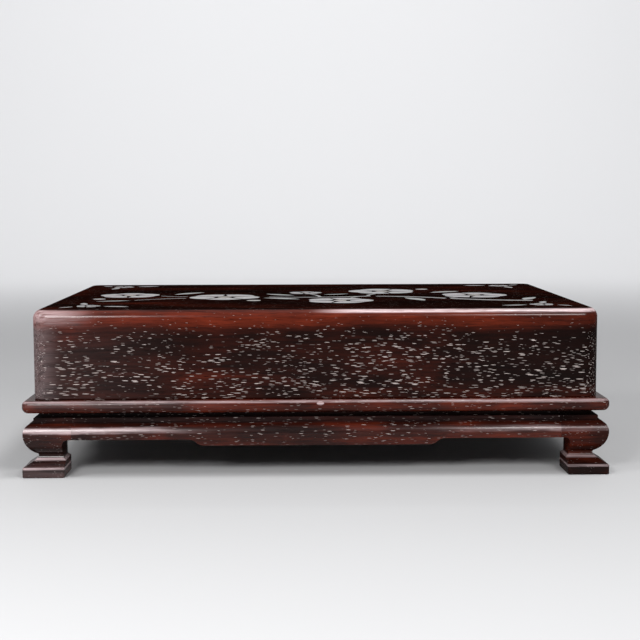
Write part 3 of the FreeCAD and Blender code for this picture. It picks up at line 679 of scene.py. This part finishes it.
def relief_blossom(middle_x, middle_y, low):
    """Domed petals round a small heart."""
    turns = [FULL_TURN * k / PETALS for k in range(PETALS)]
    spots = [(middle_x + PETALS_OUT * math.sin(turn), middle_y + PETALS_OUT * math.cos(turn), PETAL_RADIUS)
             for turn in turns]
    spots.append((middle_x, middle_y, HEART_RADIUS))
    places, faces = [], []
    for x, y, radius in spots:
        more, skin = dome(x, y, low, radius, len(places))
        places += more
        faces += skin
    return places, faces


def gild_stick():
    """Lays the border and the blossoms on the floor of the stick's panel."""
    low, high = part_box("ink_stick")
    middle_x = (low[0] + high[0]) / 2 / MM
    half_x = (high[0] - low[0]) / 2 / MM - PANEL_MARGIN - BORDER_GAP
    half_y = (high[1] - low[1]) / 2 / MM - PANEL_MARGIN - BORDER_GAP
    floor = high[2] / MM - PANEL_DEPTH
    gold = gilt()
    add_piece("gilt_border", *border(middle_x, half_x, half_y, floor), gold, "ink_stick")
    for number, y in enumerate(BLOSSOM_PLACES, 1):
        add_piece("gilt_blossom_%d" % number, *relief_blossom(middle_x, y, floor), gold, "ink_stick")


gild_stick()


# Floor, light and camera, in metres
SWEEP_NEAR = [(0.47, 0.47, 0.475), (0.50, 0.50, 0.505)]
SWEEP_FAR = (0.84, 0.84, 0.85)
SWEEP_PALER = (350.0, 1400.0)
SWEEP_HALF_WIDTH = 9.0
SWEEP_FRONT = -9.0
BEND_START = 1.4
BEND_RADIUS = 1.2
BEND_STEPS = 24
SWEEP_TOP = 3.6
STUDIO_GREY = (0.62, 0.63, 0.65, 1.0)
STUDIO_STRENGTH = 0.42
BOX_FRONT = (0.0, -0.084, 0.04)

# Each lamp's name, place, the point that it is turned towards, its power in watts, length and height
LAMPS = [
    ("left_box", (-0.24, -0.60, 0.32), BOX_FRONT, 2.6, 0.18, 0.16),
    ("right_box", (0.24, -0.60, 0.36), BOX_FRONT, 1.7, 0.18, 0.12),
    ("over_strip", (0.16, -0.12, 0.80), (0.10, -0.084, 0.07), 3.0, 0.30, 0.06),
    ("left_key", (-0.60, -0.30, 0.45), (-0.10, -0.05, 0.05), 1.8, 0.20, 0.20),
    ("backdrop", (0.0, 1.3, 1.7), (0.0, 2.5, 0.4), 26.0, 3.0, 0.6),
]


def sweep_finish():
    """Pale paper, a little cloudy, that is lighter far from the box."""
    f = Finish("pale_sweep")
    x, y, z = f.place()
    cloud = f.noise((x, y, z), (400, 400, 400), detail=3.0)
    near = f.mix(cloud, *SWEEP_NEAR)
    away = f.math("SQRT", x * x + y * y)
    colour = f.mix(f.step(away, *SWEEP_PALER), near, SWEEP_FAR)
    return f.surface(Base_Color=colour, Roughness=0.75, Specular_IOR_Level=0.1)


def make_sweep():
    """A floor that rises behind the box in one wide bend."""
    line = [(SWEEP_FRONT, 0.0), (BEND_START, 0.0)]
    for step in range(1, BEND_STEPS + 1):
        turn = math.radians(90.0 * step / BEND_STEPS)
        line.append((BEND_START + BEND_RADIUS * math.sin(turn), BEND_RADIUS * (1 - math.cos(turn))))
    line.append((BEND_START + BEND_RADIUS, SWEEP_TOP))
    places = [(x, y, z) for y, z in line for x in (-SWEEP_HALF_WIDTH, SWEEP_HALF_WIDTH)]
    faces = [(2 * k, 2 * k + 1, 2 * k + 3, 2 * k + 2) for k in range(len(line) - 1)]
    mesh = bpy.data.meshes.new("sweep")
    mesh.from_pydata(places, [], faces)
    mesh.polygons.foreach_set("use_smooth", [True] * len(faces))
    sweep = bpy.data.objects.new("sweep", mesh)
    bpy.context.scene.collection.objects.link(sweep)
    mesh.materials.append(sweep_finish())


def softbox(name, place, aim, power, length, height):
    """A soft lamp that the camera doesn't see."""
    lamp = bpy.data.lights.new(name, "AREA")
    lamp.energy = power
    lamp.shape = "RECTANGLE"
    lamp.size = length
    lamp.size_y = height
    held = bpy.data.objects.new(name, lamp)
    held.location = place
    held.rotation_euler = (Vector(aim) - Vector(place)).to_track_quat("-Z", "Y").to_euler()
    held.visible_camera = False
    bpy.context.scene.collection.objects.link(held)


def make_world():
    world = bpy.data.worlds.new("studio")
    world.use_nodes = True
    ground = world.node_tree.nodes["Background"]
    ground.inputs["Color"].default_value = STUDIO_GREY
    ground.inputs["Strength"].default_value = STUDIO_STRENGTH
    bpy.context.scene.world = world


# The camera's place and turn were fitted to the outline of the box in the photo
CAMERA_PLACE = (-10.0 * MM, -651.0 * MM, 122.0 * MM)
CAMERA_YAW = math.radians(1.16)
CAMERA_PITCH = math.radians(5.36)
CAMERA_ROLL = math.radians(0.14)
CAMERA_LENS = 73.1
CAMERA_FILM = 36.0


def make_camera():
    view = bpy.data.cameras.new("view")
    view.sensor_width = CAMERA_FILM
    view.lens = CAMERA_LENS
    held = bpy.data.objects.new("view", view)
    yaw = Matrix.Rotation(CAMERA_YAW, 3, "Z")
    pitch = Matrix.Rotation(CAMERA_PITCH, 3, "X")
    roll = Matrix.Rotation(-CAMERA_ROLL, 3, "Y")
    turn = (roll @ pitch @ yaw).transposed()
    right, ahead, up = (turn @ Vector(v) for v in ((1, 0, 0), (0, 1, 0), (0, 0, 1)))
    facing = Matrix((right, up, -ahead)).transposed().to_4x4()
    held.matrix_world = Matrix.Translation(CAMERA_PLACE) @ facing
    bpy.context.scene.collection.objects.link(held)
    bpy.context.scene.camera = held


make_sweep()
make_world()
for lamp in LAMPS:
    softbox(*lamp)
make_camera()
bpy.context.scene.view_settings.view_transform = "Standard"
